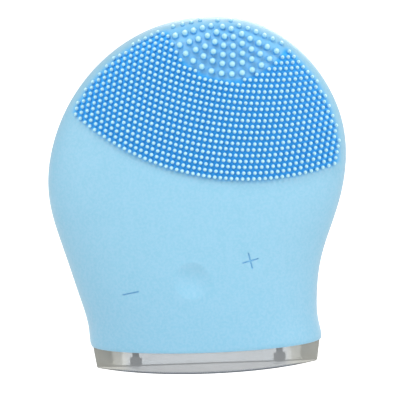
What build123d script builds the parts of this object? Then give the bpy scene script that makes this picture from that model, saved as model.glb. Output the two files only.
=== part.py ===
"""Facial cleansing brush: a soft skin over a sealed two-part shell, on a clear foot.

Millimetres. The origin is the centre of the foot's underside, +Z up, bristles and buttons on -Y.
"""

import os
from math import atan2, degrees

from build123d import *

# Overall sizes
body_width = 80.4
body_height = 88.0
body_depth = 32.4
crown_radius = 10.5
foot_height = 5.9

# Layers, from the outside in
skin_thickness = 2.0
button_pad_thickness = 1.3
shell_wall = 2.0
gasket_thickness = 0.6
gasket_recess = 0.15
hem_thickness = 1.0
hem_width = 4.0

# The body's outline as shares of its width and height, crown first
left_side = ((0.05, 1.0), (-0.21, 0.944), (-0.418, 0.77), (-0.512, 0.463), (-0.473, 0.309),
             (-0.411, 0.114), (-0.392, 0.0))
right_side = ((0.05, 1.0), (0.292, 0.928), (0.452, 0.74), (0.487, 0.581), (0.446, 0.387),
              (0.382, 0.196), (0.3745, 0.09), (0.387, 0.0))
section_shares = (0.0, 0.04, 0.09, 0.15, 0.22, 0.30, 0.38, 0.46, 0.54, 0.62, 0.70, 0.77, 0.83, 0.88,
                  0.92, 0.955, 0.98, 0.994)
outline_steps = 16

# Bristle fields
field_margin = 2.8
field_arc_radius = 67.0
field_arc_aside = 12.8
field_arc_rise = 24.1
coarse_aside = 9.0
coarse_rise = 0.6
coarse_radius = 16.4
field_gap = 0.6
fine_bristle_length = 1.7
coarse_bristle_length = 2.2
rear_bristle_length = 1.5
rear_margin = 6.0

# Buttons: a line that climbs to the right
button_slope = 12.7
button_places = {"minus": (-19.7, 22.2), "power": (-3.4, 25.3), "plus": (12.2, 29.9)}
button_radius = 5.4
button_gap = 0.15
button_travel = 0.4
mark_length = 4.5
mark_width = 0.45
mark_depth = 0.35
dimple_radius = 4.9
dimple_depth = 0.7
plunger_radius = 1.6
plunger_flange_radius = 2.2
plunger_flange = 0.6
running_clearance = 0.08

# Circuit board and what is on it
board_front = -4.0
board_thickness = 1.2
board_width = 45.0
board_height = 27.5
board_centre = (-2.0, 26.25)
board_screw_places = ((-21.5, 36.5), (17.5, 37.0), (-2.0, 15.5))
switch_side = 6.0
switch_height = 2.5
actuator_radius = 1.0
actuator_reach = 0.8
actuator_sunk = 1.3
chip_side = 7.0
chip_thickness = 1.0
led_side = 1.6
led_height = 0.8
led_offset = 6.2

# Battery
cell_width = 30.0
cell_height = 30.0
cell_thickness = 6.0
cell_front = 0.9
cell_bottom = 20.0
bracket_wall = 1.5
post_radius = 2.5
post_spacing = 20.0

# Motor, upright in the head
motor_x = -1.0
motor_bottom = 56.0
motor_length = 16.0
motor_radius = 6.0
motor_wall = 0.6
end_cap_thickness = 1.5
rotor_radius = 4.6
rotor_length = 11.0
shaft_radius = 0.75
shaft_clearance = 0.05
shaft_above = 7.5
weight_radius = 5.0
weight_thickness = 5.0
sleeve_wall = 1.5
sleeve_height = 10.0
rib_thickness = 2.0
rib_width = 26.0

# Charging socket, low on the back
port_height = 14.5
port_bore_radius = 1.25
port_bore_length = 9.0
jack_radius = 3.0
jack_recess = 1.1
jack_back_wall = 2.0
jack_flange_radius = 4.5
jack_flange = 1.2
jack_seal_thickness = 0.8
port_clearance = 0.15

# Fasteners
foot_screw_spacing = 34.0
foot_screw_y = 4.5
foot_screw_radius = 0.75
foot_screw_head_radius = 1.4
foot_screw_head = 2.6
foot_screw_head_bottom = 0.5
foot_screw_length = 11.0
foot_screw_bore_radius = 0.82
foot_counterbore_radius = 1.5
boss_radius = 2.8
boss_height = 9.0
shell_screw_places = ((-29.0, 43.0), (27.5, 43.0), (-22.0, 73.0), (24.0, 73.0))
shell_screw_radius = 0.9
shell_screw_head_radius = 1.6
shell_screw_head = 1.4
shell_screw_cover = 1.2
shell_screw_grip = 4.5
board_screw_radius = 0.7
board_screw_head_radius = 1.3
board_screw_head = 0.9
board_screw_grip = 2.6
standoff_radius = 1.9
recess_radius = 0.55
recess_depth = 0.5
thread_clearance = 0.02

# Clear foot
foot_inset = 0.4
foot_end_inset = 0.1
foot_draft = 0.8
foot_end_depth = 6.4
foot_edge = 0.35
hem_clearance = 0.2

# Leads
lead_radius = 0.45
lead_spacing = 2.4

body_bottom = foot_height
body_top = body_bottom + body_height
shell_bottom = body_bottom + hem_thickness
cavity_bottom = shell_bottom + shell_wall
field_arc_centre = (field_arc_aside, body_top + field_arc_rise)
coarse_centre = (coarse_aside, body_top + coarse_rise)
overrun = 10.0
board_back = board_front + board_thickness
board_top = board_centre[1] + board_height / 2


def inset_points(curve, inset, turn):
    """Points along a curve, moved square to it towards the side the turn gives."""
    shares = [step / outline_steps for step in range(outline_steps + 1)]
    return [curve @ share + (curve % share).rotate(Axis.Z, turn) * inset for share in shares]


def body_outline(inset):
    """The body seen from the front, moved in by the inset and left open below its bottom."""
    left_points = [(x * body_width, body_bottom + z * body_height) for x, z in left_side]
    right_points = [(x * body_width, body_bottom + z * body_height) for x, z in right_side]
    left_ends = [(-1, 0), (0.1, -1)]
    right_ends = [(1, 0), (0.12, -1)]
    if inset:
        left_points = inset_points(Spline(*left_points, tangents=left_ends), inset, 90)
        right_points = inset_points(Spline(*right_points, tangents=right_ends), inset, -90)
    with BuildSketch() as outline:
        with BuildLine():
            left = Spline(*left_points, tangents=left_ends)
            right = Spline(*right_points, tangents=right_ends)
            left_leg = Line(left @ 1, left @ 1 + Vector(*left_ends[1]) * overrun)
            right_leg = Line(right @ 1, right @ 1 + Vector(*right_ends[1]) * overrun)
            Line(left_leg @ 1, right_leg @ 1)
        make_face()
    return outline.sketch


def side_profile(inset):
    """The body seen from the side: two flanks, one arc each, joined by the crown's arc."""
    half = body_depth / 2
    rise = body_height - crown_radius
    flank_radius = (half**2 + rise**2 - crown_radius**2) / (2 * (half - crown_radius))
    turn = degrees(atan2(rise, flank_radius - half))
    foot_point = (half - inset, body_bottom)
    with BuildSketch() as profile:
        with BuildLine():
            leg = Line((half - inset, body_bottom - overrun), foot_point)
            flank = JernArc(foot_point, (0, 1), flank_radius - inset, turn)
            JernArc(flank @ 1, flank % 1, crown_radius - inset, 90 - turn)
            mirror(about=Plane.YZ)
            Line(leg @ 0, (inset - half, body_bottom - overrun))
        make_face()
    return profile.sketch


def span(sketch, height):
    """Where a level line enters and leaves a profile."""
    chord = Edge.make_line((-body_width, height), (body_width, height))
    crossings = [vertex.X for vertex in ShapeList([sketch.face().intersect(chord)]).vertices()]
    return min(crossings), max(crossings)


def pebble(inset):
    """The body's rounded form, moved in by the inset: elliptical sections up to the crown."""
    outline = body_outline(inset)
    profile = side_profile(inset)
    top = body_top - inset
    bottom = body_bottom - hem_thickness if inset else body_bottom
    sections = []
    for share in section_shares:
        height = bottom + (top - bottom) * share
        left, right = span(outline, height)
        back, front = span(profile, height)
        with BuildSketch(Plane.XY.offset(height)) as section:
            with Locations(((left + right) / 2, 0)):
                Ellipse((right - left) / 2, (front - back) / 2)
        sections.append(section.sketch.face())
    tip_x = sum(span(outline, top - 0.05)) / 2
    with BuildPart() as form:
        loft(sections=[*sections, Vertex(tip_x, 0, top)])
    return form.part


def above(form, height):
    """The part of a form above a level."""
    return split(form, bisect_by=Plane.XY.offset(height), keep=Keep.TOP)


def behind(depth):
    """A plane facing the front, this far behind the middle."""
    return Plane.XZ.offset(-depth)


outer_form = pebble(0)
pad_form = pebble(button_pad_thickness)
shell_space = pebble(skin_thickness)
shell_form = above(shell_space, shell_bottom)
cavity_form = above(pebble(skin_thickness + shell_wall), cavity_bottom)

body_left, body_right = span(body_outline(0), body_bottom)
seat_x = (body_left + body_right) / 2
seat_width = (body_right - body_left) / 2
seat_depth = body_depth / 2
button_spots = list(button_places.values())


def finish(builder, name):
    """Label a finished piece and write it."""
    builder.part.label = name
    export_step(builder.part, f"parts/{name}.step")


os.makedirs("parts", exist_ok=True)

# The skin: one soft moulding with a hem under the shell and a thin place for each button
with BuildPart() as silicone_skin:
    add(outer_form)
    with BuildSketch(Plane.XY.offset(body_bottom)):
        with Locations((seat_x, 0)):
            Ellipse(seat_width - hem_width, seat_depth - hem_width)
    extrude(amount=hem_thickness, mode=Mode.SUBTRACT)
    add(shell_form, mode=Mode.SUBTRACT)
    with BuildSketch(Plane.XZ):
        with Locations(*button_spots):
            Circle(button_radius + button_gap)
    extrude(amount=body_depth, mode=Mode.SUBTRACT)
    with BuildSketch(Plane.XZ):
        with Locations((0, port_height)):
            Circle(jack_radius + port_clearance)
    extrude(amount=-body_depth, mode=Mode.SUBTRACT)
finish(silicone_skin, "silicone_skin")

# Bristle fields: the envelope of the bristle tips, standing on the skin
front_margin = body_outline(field_margin)
back_margin = body_outline(rear_margin)
with BuildSketch(Plane.XZ) as fine_outline:
    add(front_margin)
    with Locations(field_arc_centre):
        Circle(field_arc_radius, mode=Mode.INTERSECT)
    with Locations(coarse_centre):
        Circle(coarse_radius + field_gap, mode=Mode.SUBTRACT)

with BuildSketch(Plane.XZ) as coarse_outline:
    add(front_margin)
    with Locations(coarse_centre):
        Circle(coarse_radius, mode=Mode.INTERSECT)

with BuildSketch(Plane.XZ) as rear_outline:
    add(back_margin)
    with Locations(field_arc_centre):
        Circle(field_arc_radius, mode=Mode.INTERSECT)


def bristle_field(outline, length, side):
    """The layer of this depth over the skin, within the outline, on the front (-1) or back (1)."""
    with BuildPart() as field:
        extrude(outline.sketch, amount=body_depth, dir=(0, side, 0))
        add(outer_form.moved(Location((0, side * length, 0))), mode=Mode.INTERSECT)
        add(outer_form, mode=Mode.SUBTRACT)
    return field


finish(bristle_field(fine_outline, fine_bristle_length, -1), "fine_bristle_field")
finish(bristle_field(coarse_outline, coarse_bristle_length, -1), "coarse_bristle_field")
finish(bristle_field(rear_outline, rear_bristle_length, 1), "rear_bristle_field")

# The sealed shell: bosses, ribs and standoffs inside, split at a flat gasket
with BuildPart() as shell_walls:
    add(shell_form)
    add(cavity_form, mode=Mode.SUBTRACT)

with BuildPart() as shell_frame:
    add(shell_walls.part)
    with BuildSketch(Plane.XZ):
        with Locations(*shell_screw_places):
            Circle(boss_radius)
    extrude(amount=body_depth, both=True)
    with BuildSketch(Plane.XY.offset(shell_bottom)):
        with Locations((-foot_screw_spacing / 2, foot_screw_y), (foot_screw_spacing / 2, foot_screw_y)):
            Circle(boss_radius)
    extrude(amount=boss_height)
    with BuildSketch(Plane.XZ.offset(-board_front)):
        with Locations(*board_screw_places):
            Circle(standoff_radius)
    extrude(amount=body_depth)
    with BuildSketch(behind(cell_front + cell_thickness + bracket_wall)):
        with Locations((0, cell_bottom + cell_height / 2)):
            with GridLocations(post_spacing, post_spacing, 2, 2):
                Circle(post_radius)
    extrude(amount=-body_depth)
    for end in (-1, 1):
        rib_middle = motor_bottom + motor_length / 2 + end * (sleeve_height - rib_thickness) / 2
        with BuildSketch(Plane.XY.offset(rib_middle - rib_thickness / 2)):
            with Locations((motor_x, 0)):
                Rectangle(rib_width, body_depth)
                Circle(motor_radius + sleeve_wall, mode=Mode.SUBTRACT)
        extrude(amount=rib_thickness)
    add(shell_form, mode=Mode.INTERSECT)
    with BuildSketch(Plane.XZ):
        with Locations(*button_spots):
            Circle(plunger_radius + running_clearance)
    extrude(amount=body_depth, mode=Mode.SUBTRACT)
    with BuildSketch(Plane.XZ):
        with Locations((0, port_height)):
            Circle(jack_radius)
    extrude(amount=-body_depth, mode=Mode.SUBTRACT)
    with BuildSketch(Plane.XY.offset(shell_bottom)):
        with Locations((-foot_screw_spacing / 2, foot_screw_y), (foot_screw_spacing / 2, foot_screw_y)):
            Circle(foot_screw_radius + thread_clearance)
    extrude(amount=boss_height, mode=Mode.SUBTRACT)
    with BuildSketch(Plane.XZ.offset(-board_front)):
        with Locations(*board_screw_places):
            Circle(board_screw_radius + thread_clearance)
    extrude(amount=board_screw_grip + thread_clearance, mode=Mode.SUBTRACT)


def shell_screw_seat(place):
    """How far behind the middle the screw's head rests, below the rear shell's surface."""
    x, z = place
    surface = shell_form.find_intersection_points(Axis((x, body_depth, z), (0, -1, 0)))[0][0].Y
    return surface - shell_screw_cover - shell_screw_head


with BuildPart() as front_shell:
    add(shell_frame.part)
    split(bisect_by=Plane.XZ.offset(gasket_thickness / 2))
    with BuildSketch(Plane.XZ):
        with Locations(*shell_screw_places):
            Circle(shell_screw_radius + thread_clearance)
    extrude(amount=shell_screw_grip + thread_clearance, mode=Mode.SUBTRACT)
finish(front_shell, "front_shell")

with BuildPart() as rear_shell:
    add(shell_frame.part)
    split(bisect_by=behind(gasket_thickness / 2), keep=Keep.BOTTOM)
    with BuildSketch(Plane.XZ):
        with Locations(*shell_screw_places):
            Circle(shell_screw_radius + thread_clearance)
    extrude(amount=-body_depth, mode=Mode.SUBTRACT)
    for place in shell_screw_places:
        with BuildSketch(behind(shell_screw_seat(place))):
            with Locations(place):
                Circle(shell_screw_head_radius + button_gap)
        extrude(amount=-body_depth, mode=Mode.SUBTRACT)
finish(rear_shell, "rear_shell")

gasket_outer = body_outline(skin_thickness + gasket_recess)
gasket_inner = body_outline(skin_thickness + shell_wall - gasket_recess)
with BuildPart() as shell_gasket:
    with BuildSketch(behind(gasket_thickness / 2)):
        add(gasket_outer)
        with Locations((0, shell_bottom + gasket_recess)):
            Rectangle(body_width, body_height, align=(Align.CENTER, Align.MAX), mode=Mode.SUBTRACT)
    extrude(amount=gasket_thickness)
    with BuildSketch(behind(gasket_thickness / 2)):
        add(gasket_inner)
        with Locations((0, cavity_bottom - gasket_recess)):
            Rectangle(body_width, body_height, align=(Align.CENTER, Align.MAX), mode=Mode.SUBTRACT)
    extrude(amount=gasket_thickness, mode=Mode.SUBTRACT)
finish(shell_gasket, "shell_gasket")


def screws(seats, lengths, shank, head, head_height):
    """Pan-head screws: each seat is the plane under a head, and the shank runs along its normal."""
    with BuildPart() as group:
        for seat, length in zip(seats, lengths):
            with BuildSketch(seat):
                Circle(shank)
            extrude(amount=length)
            with BuildSketch(seat):
                Circle(head)
            extrude(amount=-head_height)
            with BuildSketch(seat.offset(-head_height)):
                RegularPolygon(recess_radius, 6)
            extrude(amount=recess_depth, mode=Mode.SUBTRACT)
    return group


seat_depths = [shell_screw_seat(place) for place in shell_screw_places]
seats = [Plane((x, depth, z), z_dir=(0, -1, 0)) for (x, z), depth in zip(shell_screw_places, seat_depths)]
shell_screws = screws(seats, [depth + shell_screw_grip for depth in seat_depths],
                      shell_screw_radius, shell_screw_head_radius, shell_screw_head)
finish(shell_screws, "shell_screws")

# The clear foot: a drafted block, bowed front and back and flat at its ends, with a raised seat
# inside the hem, screwed up into the shell
foot_end = seat_width * (1 - (foot_end_depth / body_depth) ** 2) ** 0.5
with BuildPart() as clear_foot:
    for height, draft in ((0, foot_draft), (foot_height, 0)):
        left_x = seat_x - foot_end + foot_end_inset + draft
        right_x = seat_x + foot_end - foot_end_inset - draft
        end_y = foot_end_depth / 2 - draft
        bow_y = seat_depth - foot_inset - draft
        with BuildSketch(Plane.XY.offset(height)):
            with BuildLine():
                ThreePointArc((left_x, -end_y), (seat_x, -bow_y), (right_x, -end_y))
                Line((right_x, -end_y), (right_x, end_y))
                ThreePointArc((right_x, end_y), (seat_x, bow_y), (left_x, end_y))
                Line((left_x, end_y), (left_x, -end_y))
            make_face()
    loft(ruled=True)
    chamfer(edges().group_by(Axis.Z)[0], foot_edge)
    with BuildSketch(Plane.XY.offset(foot_height)):
        with Locations((seat_x, 0)):
            Ellipse(seat_width - hem_width - hem_clearance, seat_depth - hem_width - hem_clearance)
    extrude(amount=hem_thickness)
    head_seat = foot_screw_head_bottom + foot_screw_head
    with Locations((-foot_screw_spacing / 2, foot_screw_y), (foot_screw_spacing / 2, foot_screw_y)):
        with Locations((0, 0, shell_bottom / 2)):
            Cylinder(foot_screw_bore_radius, shell_bottom, mode=Mode.SUBTRACT)
        with Locations((0, 0, head_seat / 2)):
            Cylinder(foot_counterbore_radius, head_seat, mode=Mode.SUBTRACT)
finish(clear_foot, "clear_foot")

seats = [Plane((side * foot_screw_spacing / 2, foot_screw_y, head_seat)) for side in (-1, 1)]
foot_screws = screws(seats, [foot_screw_length] * len(seats),
                     foot_screw_radius, foot_screw_head_radius, foot_screw_head)
finish(foot_screws, "foot_screws")

# Buttons: a thin pad level with the skin, a plunger through the shell, a switch behind it
actuator_front = board_front - switch_height - actuator_reach
plunger_back = actuator_front


mark_floor = outer_form.moved(Location((0, mark_depth, 0)))
dimple_ball = (dimple_radius**2 + dimple_depth**2) / (2 * dimple_depth)

for name, place in button_places.items():
    x, z = place
    with BuildPart() as pad:
        with BuildSketch(Plane.XZ):
            with Locations(place):
                Circle(button_radius)
        extrude(amount=body_depth)
        add(outer_form, mode=Mode.INTERSECT)
        add(pad_form, mode=Mode.SUBTRACT)
        if name == "power":
            surface = outer_form.find_intersection_points(Axis((x, -body_depth, z), (0, 1, 0)))[0][0].Y
            with Locations((x, surface + dimple_depth - dimple_ball, z)):
                Sphere(dimple_ball, mode=Mode.SUBTRACT)
        else:
            with BuildSketch(Plane.XZ) as mark:
                with Locations(place):
                    Rectangle(mark_length, mark_width, rotation=button_slope)
                    if name == "plus":
                        Rectangle(mark_width, mark_length, rotation=button_slope)
            groove = extrude(amount=body_depth, mode=Mode.PRIVATE)
            add(groove - mark_floor, mode=Mode.SUBTRACT)
    finish(pad, f"{name}_button_pad")

    with BuildPart() as plunger:
        with BuildSketch(Plane.XZ.offset(-plunger_back)):
            with Locations(place):
                Circle(plunger_radius)
        extrude(amount=body_depth)
        with BuildSketch(Plane.XZ.offset(-plunger_back)):
            with Locations(place):
                Circle(plunger_flange_radius)
        extrude(amount=plunger_flange)
        add(pad_form, mode=Mode.INTERSECT)
    finish(plunger, f"{name}_plunger")

    with BuildPart() as actuator:
        with BuildSketch(Plane.XZ.offset(-actuator_front)):
            with Locations(place):
                Circle(actuator_radius)
        extrude(amount=-actuator_reach - actuator_sunk)
    finish(actuator, f"{name}_switch_actuator")

# The circuit board and what is soldered to it
with BuildPart() as circuit_board:
    with BuildSketch(Plane.XZ.offset(-board_front)):
        with Locations(board_centre):
            RectangleRounded(board_width, board_height, standoff_radius)
        with Locations(*board_screw_places):
            Circle(board_screw_radius + thread_clearance, mode=Mode.SUBTRACT)
    extrude(amount=-board_thickness)
finish(circuit_board, "circuit_board")

with BuildPart() as tact_switches:
    with BuildSketch(Plane.XZ.offset(-board_front)):
        with Locations(*button_spots):
            RectangleRounded(switch_side, switch_side, mark_width)
    extrude(amount=switch_height)
    with BuildSketch(Plane.XZ.offset(switch_height - board_front)):
        with Locations(*button_spots):
            Circle(actuator_radius + running_clearance)
    extrude(amount=-actuator_sunk - button_travel - button_gap, mode=Mode.SUBTRACT)
finish(tact_switches, "tact_switches")

power_x, power_z = button_places["power"]
with BuildPart() as status_leds:
    with BuildSketch(Plane.XZ.offset(-board_front)):
        with Locations((power_x - led_offset, power_z), (power_x + led_offset, power_z)):
            Rectangle(led_side, led_side / 2)
    extrude(amount=led_height)
finish(status_leds, "status_leds")

with BuildPart() as control_chip:
    with BuildSketch(behind(board_back)):
        with Locations(board_centre):
            Rectangle(chip_side, chip_side)
    extrude(amount=-chip_thickness)
    chamfer(faces().sort_by(Axis.Y)[-1].edges(), running_clearance)
finish(control_chip, "control_chip")

seats = [Plane((x, board_back, z), z_dir=(0, -1, 0)) for x, z in board_screw_places]
board_screws = screws(seats, [board_thickness + board_screw_grip] * len(seats),
                      board_screw_radius, board_screw_head_radius, board_screw_head)
finish(board_screws, "board_screws")

# The battery in its bracket, against the rear shell's posts
cell_middle = cell_bottom + cell_height / 2
with BuildPart() as battery_cell:
    with BuildSketch(behind(cell_front)):
        with Locations((0, cell_middle)):
            Rectangle(cell_width, cell_height)
    extrude(amount=-cell_thickness)
    fillet(edges().filter_by(Axis.Z), cell_thickness / 3)
finish(battery_cell, "battery_cell")

with BuildPart() as battery_bracket:
    with BuildSketch(behind(cell_front)):
        with Locations((0, cell_middle)):
            RectangleRounded(cell_width + 2 * bracket_wall, cell_height + 2 * bracket_wall, bracket_wall)
    extrude(amount=-cell_thickness - bracket_wall)
    with BuildSketch(behind(cell_front)):
        with Locations((0, cell_middle)):
            Rectangle(cell_width, cell_height)
    extrude(amount=-cell_thickness, mode=Mode.SUBTRACT)
finish(battery_bracket, "battery_bracket")

# The motor: a can with an end cap, a rotor on a shaft, and a weight that shakes the head
motor_top = motor_bottom + motor_length
bore_radius = shaft_radius + shaft_clearance
shaft_bottom = motor_bottom + end_cap_thickness / 2
with BuildPart() as motor_can:
    with BuildSketch(Plane.XY.offset(motor_bottom)):
        with Locations((motor_x, 0)):
            Circle(motor_radius)
    extrude(amount=motor_length)
    with BuildSketch(Plane.XY.offset(motor_bottom)):
        with Locations((motor_x, 0)):
            Circle(motor_radius - motor_wall)
    extrude(amount=motor_length - motor_wall, mode=Mode.SUBTRACT)
    with BuildSketch(Plane.XY.offset(motor_bottom)):
        with Locations((motor_x, 0)):
            Circle(bore_radius)
    extrude(amount=motor_length, mode=Mode.SUBTRACT)
finish(motor_can, "motor_can")

with BuildPart() as motor_end_cap:
    with BuildSketch(Plane.XY.offset(motor_bottom)):
        with Locations((motor_x, 0)):
            Circle(motor_radius - motor_wall)
    extrude(amount=end_cap_thickness)
    with BuildSketch(Plane.XY.offset(shaft_bottom - shaft_clearance)):
        with Locations((motor_x, 0)):
            Circle(bore_radius)
    extrude(amount=end_cap_thickness, mode=Mode.SUBTRACT)
finish(motor_end_cap, "motor_end_cap")

with BuildPart() as motor_shaft:
    with BuildSketch(Plane.XY.offset(shaft_bottom)):
        with Locations((motor_x, 0)):
            Circle(shaft_radius)
    extrude(amount=motor_top + shaft_above - shaft_bottom)
finish(motor_shaft, "motor_shaft")

with BuildPart() as motor_rotor:
    with BuildSketch(Plane.XY.offset((motor_bottom + motor_top - rotor_length) / 2)):
        with Locations((motor_x, 0)):
            Circle(rotor_radius)
            Circle(shaft_radius, mode=Mode.SUBTRACT)
    extrude(amount=rotor_length)
finish(motor_rotor, "motor_rotor")

with BuildPart() as eccentric_weight:
    with BuildSketch(Plane.XY.offset(motor_top + shaft_above - weight_thickness)):
        with Locations((motor_x, 0)):
            Circle(weight_radius)
        with Locations((motor_x, weight_radius)):
            Rectangle(2 * weight_radius, 2 * weight_radius - 2 * shaft_radius - weight_radius / 2,
                      mode=Mode.SUBTRACT)
        with Locations((motor_x, 0)):
            Circle(shaft_radius, mode=Mode.SUBTRACT)
    extrude(amount=weight_thickness)
finish(eccentric_weight, "eccentric_weight")

with BuildPart() as motor_sleeve:
    with BuildSketch(Plane.XY.offset((motor_bottom + motor_top - sleeve_height) / 2)):
        with Locations((motor_x, 0)):
            Circle(motor_radius + sleeve_wall)
            Circle(motor_radius, mode=Mode.SUBTRACT)
    extrude(amount=sleeve_height)
    add(cavity_form, mode=Mode.INTERSECT)
finish(motor_sleeve, "motor_sleeve")

# The charging socket, sealed against the inside of the rear shell
port_axis = Axis((0, body_depth, port_height), (0, -1, 0))
jack_mouth = outer_form.find_intersection_points(port_axis)[0][0].Y - jack_recess
inner_wall = cavity_form.find_intersection_points(port_axis)[0][0].Y
flange_face = inner_wall - jack_seal_thickness
with BuildPart() as charge_jack:
    with BuildSketch(behind(jack_mouth)):
        with Locations((0, port_height)):
            Circle(jack_radius)
    extrude(amount=port_bore_length + jack_back_wall)
    with BuildSketch(behind(flange_face)):
        with Locations((0, port_height)):
            Circle(jack_flange_radius)
    extrude(amount=jack_flange)
    with BuildSketch(behind(jack_mouth)):
        with Locations((0, port_height)):
            Circle(port_bore_radius)
    extrude(amount=port_bore_length, mode=Mode.SUBTRACT)
finish(charge_jack, "charge_jack")

with BuildPart() as jack_seal:
    with BuildSketch(behind(flange_face)):
        with Locations((0, port_height)):
            Circle(jack_flange_radius)
            Circle(jack_radius, mode=Mode.SUBTRACT)
    extrude(amount=-jack_seal_thickness)
    add(cavity_form, mode=Mode.INTERSECT)
finish(jack_seal, "jack_seal")


def leads(routes, turn):
    """Insulated wires: straight runs joined by tangent arcs."""
    with BuildPart() as group:
        for points in routes:
            with BuildLine() as route:
                FilletPolyline(*points, radius=turn)
            with BuildSketch(Plane(origin=route.line @ 0, z_dir=route.line % 0)):
                Circle(lead_radius)
            sweep(path=route.line)
    return group


# The cell's leads go over the bracket's top edge to the board, and the motor's go down to it
lead_turn = 2 * lead_radius
bracket_top = cell_bottom + cell_height + bracket_wall
lead_top = bracket_top + 3 * lead_turn
lead_bottom = board_top - 2 * lead_turn
cell_lead_x = cell_width / 3
cell_routes = []
motor_routes = []
for side in (-1, 1):
    x = cell_lead_x + side * lead_spacing / 2
    start = cell_front + cell_thickness / 2
    middle = (board_back + cell_front) / 2
    cell_routes.append([(x, start, bracket_top), (x, start, lead_top), (x, middle, lead_top),
                        (x, middle, lead_bottom), (x, board_back, lead_bottom)])
    x = motor_x + side * lead_spacing / 2
    bend = (motor_bottom + board_top) / 2
    board_middle = board_front + board_thickness / 2
    motor_routes.append([(x, -bore_radius - lead_radius, motor_bottom),
                         (x, -bore_radius - lead_radius, bend + lead_turn),
                         (x, board_middle, bend - lead_turn), (x, board_middle, board_top)])
finish(leads(cell_routes, lead_turn), "battery_leads")
finish(leads(motor_routes, 2 * lead_turn), "motor_leads")
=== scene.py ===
"""Looks of the facial cleansing brush: its soft skin, touch points, buttons and clear foot, in metres."""

import math

import bmesh
import bpy
import numpy as np
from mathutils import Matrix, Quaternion, Vector
from mathutils.bvhtree import BVHTree


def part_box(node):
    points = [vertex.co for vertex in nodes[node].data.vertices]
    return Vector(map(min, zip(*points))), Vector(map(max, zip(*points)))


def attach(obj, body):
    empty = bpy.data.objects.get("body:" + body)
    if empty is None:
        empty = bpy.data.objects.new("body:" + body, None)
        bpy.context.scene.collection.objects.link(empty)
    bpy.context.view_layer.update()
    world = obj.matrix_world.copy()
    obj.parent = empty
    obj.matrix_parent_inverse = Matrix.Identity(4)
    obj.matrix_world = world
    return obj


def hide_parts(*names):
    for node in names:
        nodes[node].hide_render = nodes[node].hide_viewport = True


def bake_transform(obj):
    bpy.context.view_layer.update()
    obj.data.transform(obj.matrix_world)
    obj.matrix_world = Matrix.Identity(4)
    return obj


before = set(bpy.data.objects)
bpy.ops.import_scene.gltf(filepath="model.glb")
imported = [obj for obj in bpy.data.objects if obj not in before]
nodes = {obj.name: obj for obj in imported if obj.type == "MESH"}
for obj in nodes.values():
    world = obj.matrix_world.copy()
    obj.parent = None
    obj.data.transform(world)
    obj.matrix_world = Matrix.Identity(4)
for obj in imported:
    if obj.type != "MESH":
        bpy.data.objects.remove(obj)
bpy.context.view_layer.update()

MM = 0.001

# The camera looks down a little, and leans a little
VIEW_DOWN = math.radians(8)
VIEW_ROLL = math.radians(-2)
VIEW_CENTRE = Vector((1.5, 0, 42.4)) * MM
VIEW_WIDTH = 112.1 * MM
LENS = 200
SENSOR = 36

# Skin
SKIN_THICKNESS = 2.0 * MM
HEM_WIDTH = 4.0 * MM
HEM_THICKNESS = 1.0 * MM
HEM_ROUND = 0.2 * MM
ROUND_MIDDLE = 0.3
SKIN_ROWS = 140
SKIN_COLUMNS = 240
INNER_ROWS = 28
INNER_FIRST = 0.02
PORT_RADIUS = 3.2 * MM
CUTTER_REACH = 0.05
SHARP_ANGLE = math.radians(40)

# How the body's form is read: a level's turn goes from 0 at the hem to a quarter turn at the crown
READ_TURNS = np.linspace(0.004, 1.545, 150)
READ_FROM = 0.1
READ_ASIDE = 7 * MM
READ_ASIDE_SHARE = 0.4
FIT_DEGREE = 16
SLOPE_STEP = 0.05 * MM

# Where the skin takes the form's own normals
HEM_CLEARANCE = 0.8 * MM
CROWN_SHARE = 0.985
SURFACE_BAND = 0.02
SURFACE_FACING = 0.95

# The head's rim as the mould sees it
RIM_TURNS = np.linspace(0.2, math.pi / 2, 160)
RIM_AROUND = np.linspace(0, 2 * math.pi, 181)
RIM_ANGLES = np.linspace(-0.6, math.pi + 0.6, 300)
RIM_MIDDLE_TURN = 1.2
RIM_MIDDLE_SHARE = 0.55
RIM_NEAR_ANGLE = 0.02

# Buttons
BUTTONS = {"minus": "minus_button", "power": "power_button", "plus": "plus_button"}
BUTTON_SLOPE = math.radians(12.7)
WINDOW_RADIUS = 5.55 * MM
CORE_RADIUS = 2.6 * MM
PAD_THICKNESS = 1.3 * MM
PAD_SECTORS = 6
PAD_STEPS = 96
PAD_RINGS = 14
PAD_BAND = 0.06 * MM
PAD_FACING = -0.5
CORE_FIRST_RING = 0.15 * MM
CORE_RINGS = 9
DIMPLE_RADIUS = 5.1 * MM
DIMPLE_DEPTH = 0.95 * MM
MARK_LENGTH = 4.5 * MM
MARK_WIDTH = 0.42 * MM
MARK_DEPTH = 0.28 * MM
MARK_BAND = 0.02 * MM
# How strong the painted shade on the floors of the marks is
MARK_SHADE = 0.28
MARK_END_STEPS = 8
MARK_REACH = 0.03

# Screws seen in the clear foot, snug in their bores; the carried-over heads are a little narrower
FOOT_HEAD_RADIUS = 1.51 * MM
FOOT_SHANK_RADIUS = 0.83 * MM
FOOT_HEAD_HEIGHT = 2.6 * MM
FOOT_PLAIN_SHANK = 7.2 * MM
FOOT_HEAD_RIM = 0.3 * MM
THREAD_DEPTH = 0.14 * MM
THREAD_PITCH = 0.5 * MM
DRIVER_DEPTH = 0.9 * MM
DRIVER_FLOOR_RADIUS = 0.65 * MM
DRIVER_MOUTH_RADIUS = 0.7 * MM
CARRIED_HEAD_RADIUS = 1.4 * MM
TURNED_STEPS = 40

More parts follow.
